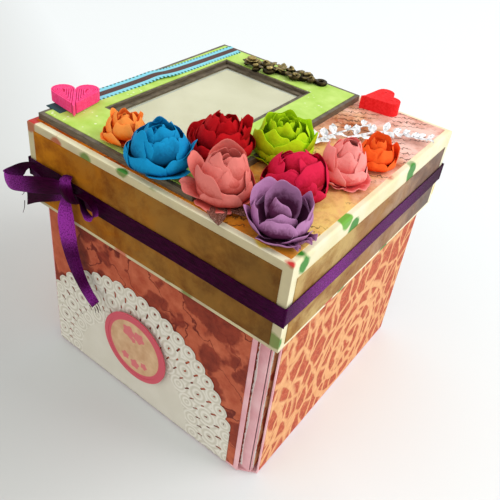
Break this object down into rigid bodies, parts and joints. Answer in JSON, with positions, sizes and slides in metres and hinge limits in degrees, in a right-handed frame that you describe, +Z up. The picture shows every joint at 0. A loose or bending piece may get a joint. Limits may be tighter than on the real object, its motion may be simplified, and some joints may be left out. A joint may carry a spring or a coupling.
{
  "type": "explosion gift box",
  "caption": "Square folded card gift box with nested flap layers and a lift-off lid dressed with papers, a ribbon and bow, a photo frame, paper roses and quilled hearts.",
  "frame": {"origin": "middle of the underside of the outer layer's base", "axes": "+Z up, the way the lid lifts; -Y is the front, with the doily, the badge and the bow; +X is to the right"},
  "size_m": [0.1704, 0.1692, 0.1696],
  "materials": {
    "pink_card": "matt card",
    "front_print": "printed matt paper",
    "side_print": "printed matt paper",
    "lace_paper": "embossed lace paper",
    "foam": "white foam",
    "badge_card": "printed card",
    "floral_card": "printed satin card",
    "lid_paper": "distressed matt paper",
    "satin": "satin weave",
    "frame_board": "grey board",
    "lime_paper": "speckled paper",
    "clear_film": "clear film",
    "photo_sheet": "bare matt paper",
    "striped_ribbon": "woven ribbon",
    "bronze": "aged bronze",
    "pink_paper": "rolled paper strip",
    "red_paper": "paper",
    "orange_paper": "paper",
    "blue_paper": "paper",
    "salmon_paper": "paper",
    "lime_rose_paper": "paper",
    "crimson_paper": "paper",
    "purple_paper": "paper",
    "dark_leaf": "matt paper",
    "lace_leaf": "veined skeleton leaf",
    "foil": "crumpled foil paper"
  },
  "bodies": {
    "box": {"badge": "badge_card", "badge_pad": "foam", "doily": "lace_paper", "inner_layer": "pink_card", "middle_back_paper": "front_print", "middle_front_paper": "front_print", "middle_layer": "pink_card", "middle_left_paper": "side_print", "middle_right_paper": "side_print", "outer_back_paper": "front_print", "outer_front_paper": "front_print", "outer_layer": "pink_card", "outer_left_paper": "side_print", "outer_right_paper": "side_print"},
    "lid": {"dark_leaf_left": "dark_leaf", "dark_leaf_right": "dark_leaf", "frame_board": "frame_board", "frame_face": "lime_paper", "inner_mat": "frame_board", "lace_leaf_left": "lace_leaf", "lace_leaf_right": "lace_leaf", "lid_back_paper": "lid_paper", "lid_front_paper": "lid_paper", "lid_left_paper": "lid_paper", "lid_right_paper": "lid_paper", "lid_top_paper": "lid_paper", "lid_tray": "floral_card", "long_sprig": "foil", "metal_flourish": "bronze", "photo_sheet": "photo_sheet", "pink_heart": "pink_paper", "red_heart": "red_paper", "rose_blue": "blue_paper", "rose_coral": "salmon_paper", "rose_crimson": "crimson_paper", "rose_lime": "lime_rose_paper", "rose_orange": "orange_paper", "rose_purple": "purple_paper", "rose_red": "red_paper", "rose_salmon": "salmon_paper", "rose_vermilion": "orange_paper", "satin_ribbon": "satin", "short_sprig": "foil", "striped_ribbon": "striped_ribbon", "window_film": "clear_film"}
  },
  "joints": [
    {"name": "lid_lift", "type": "slide", "parent": "box", "child": "lid", "axis": [0, 0, 1], "range_m": [0, 0.06]}
  ]
}
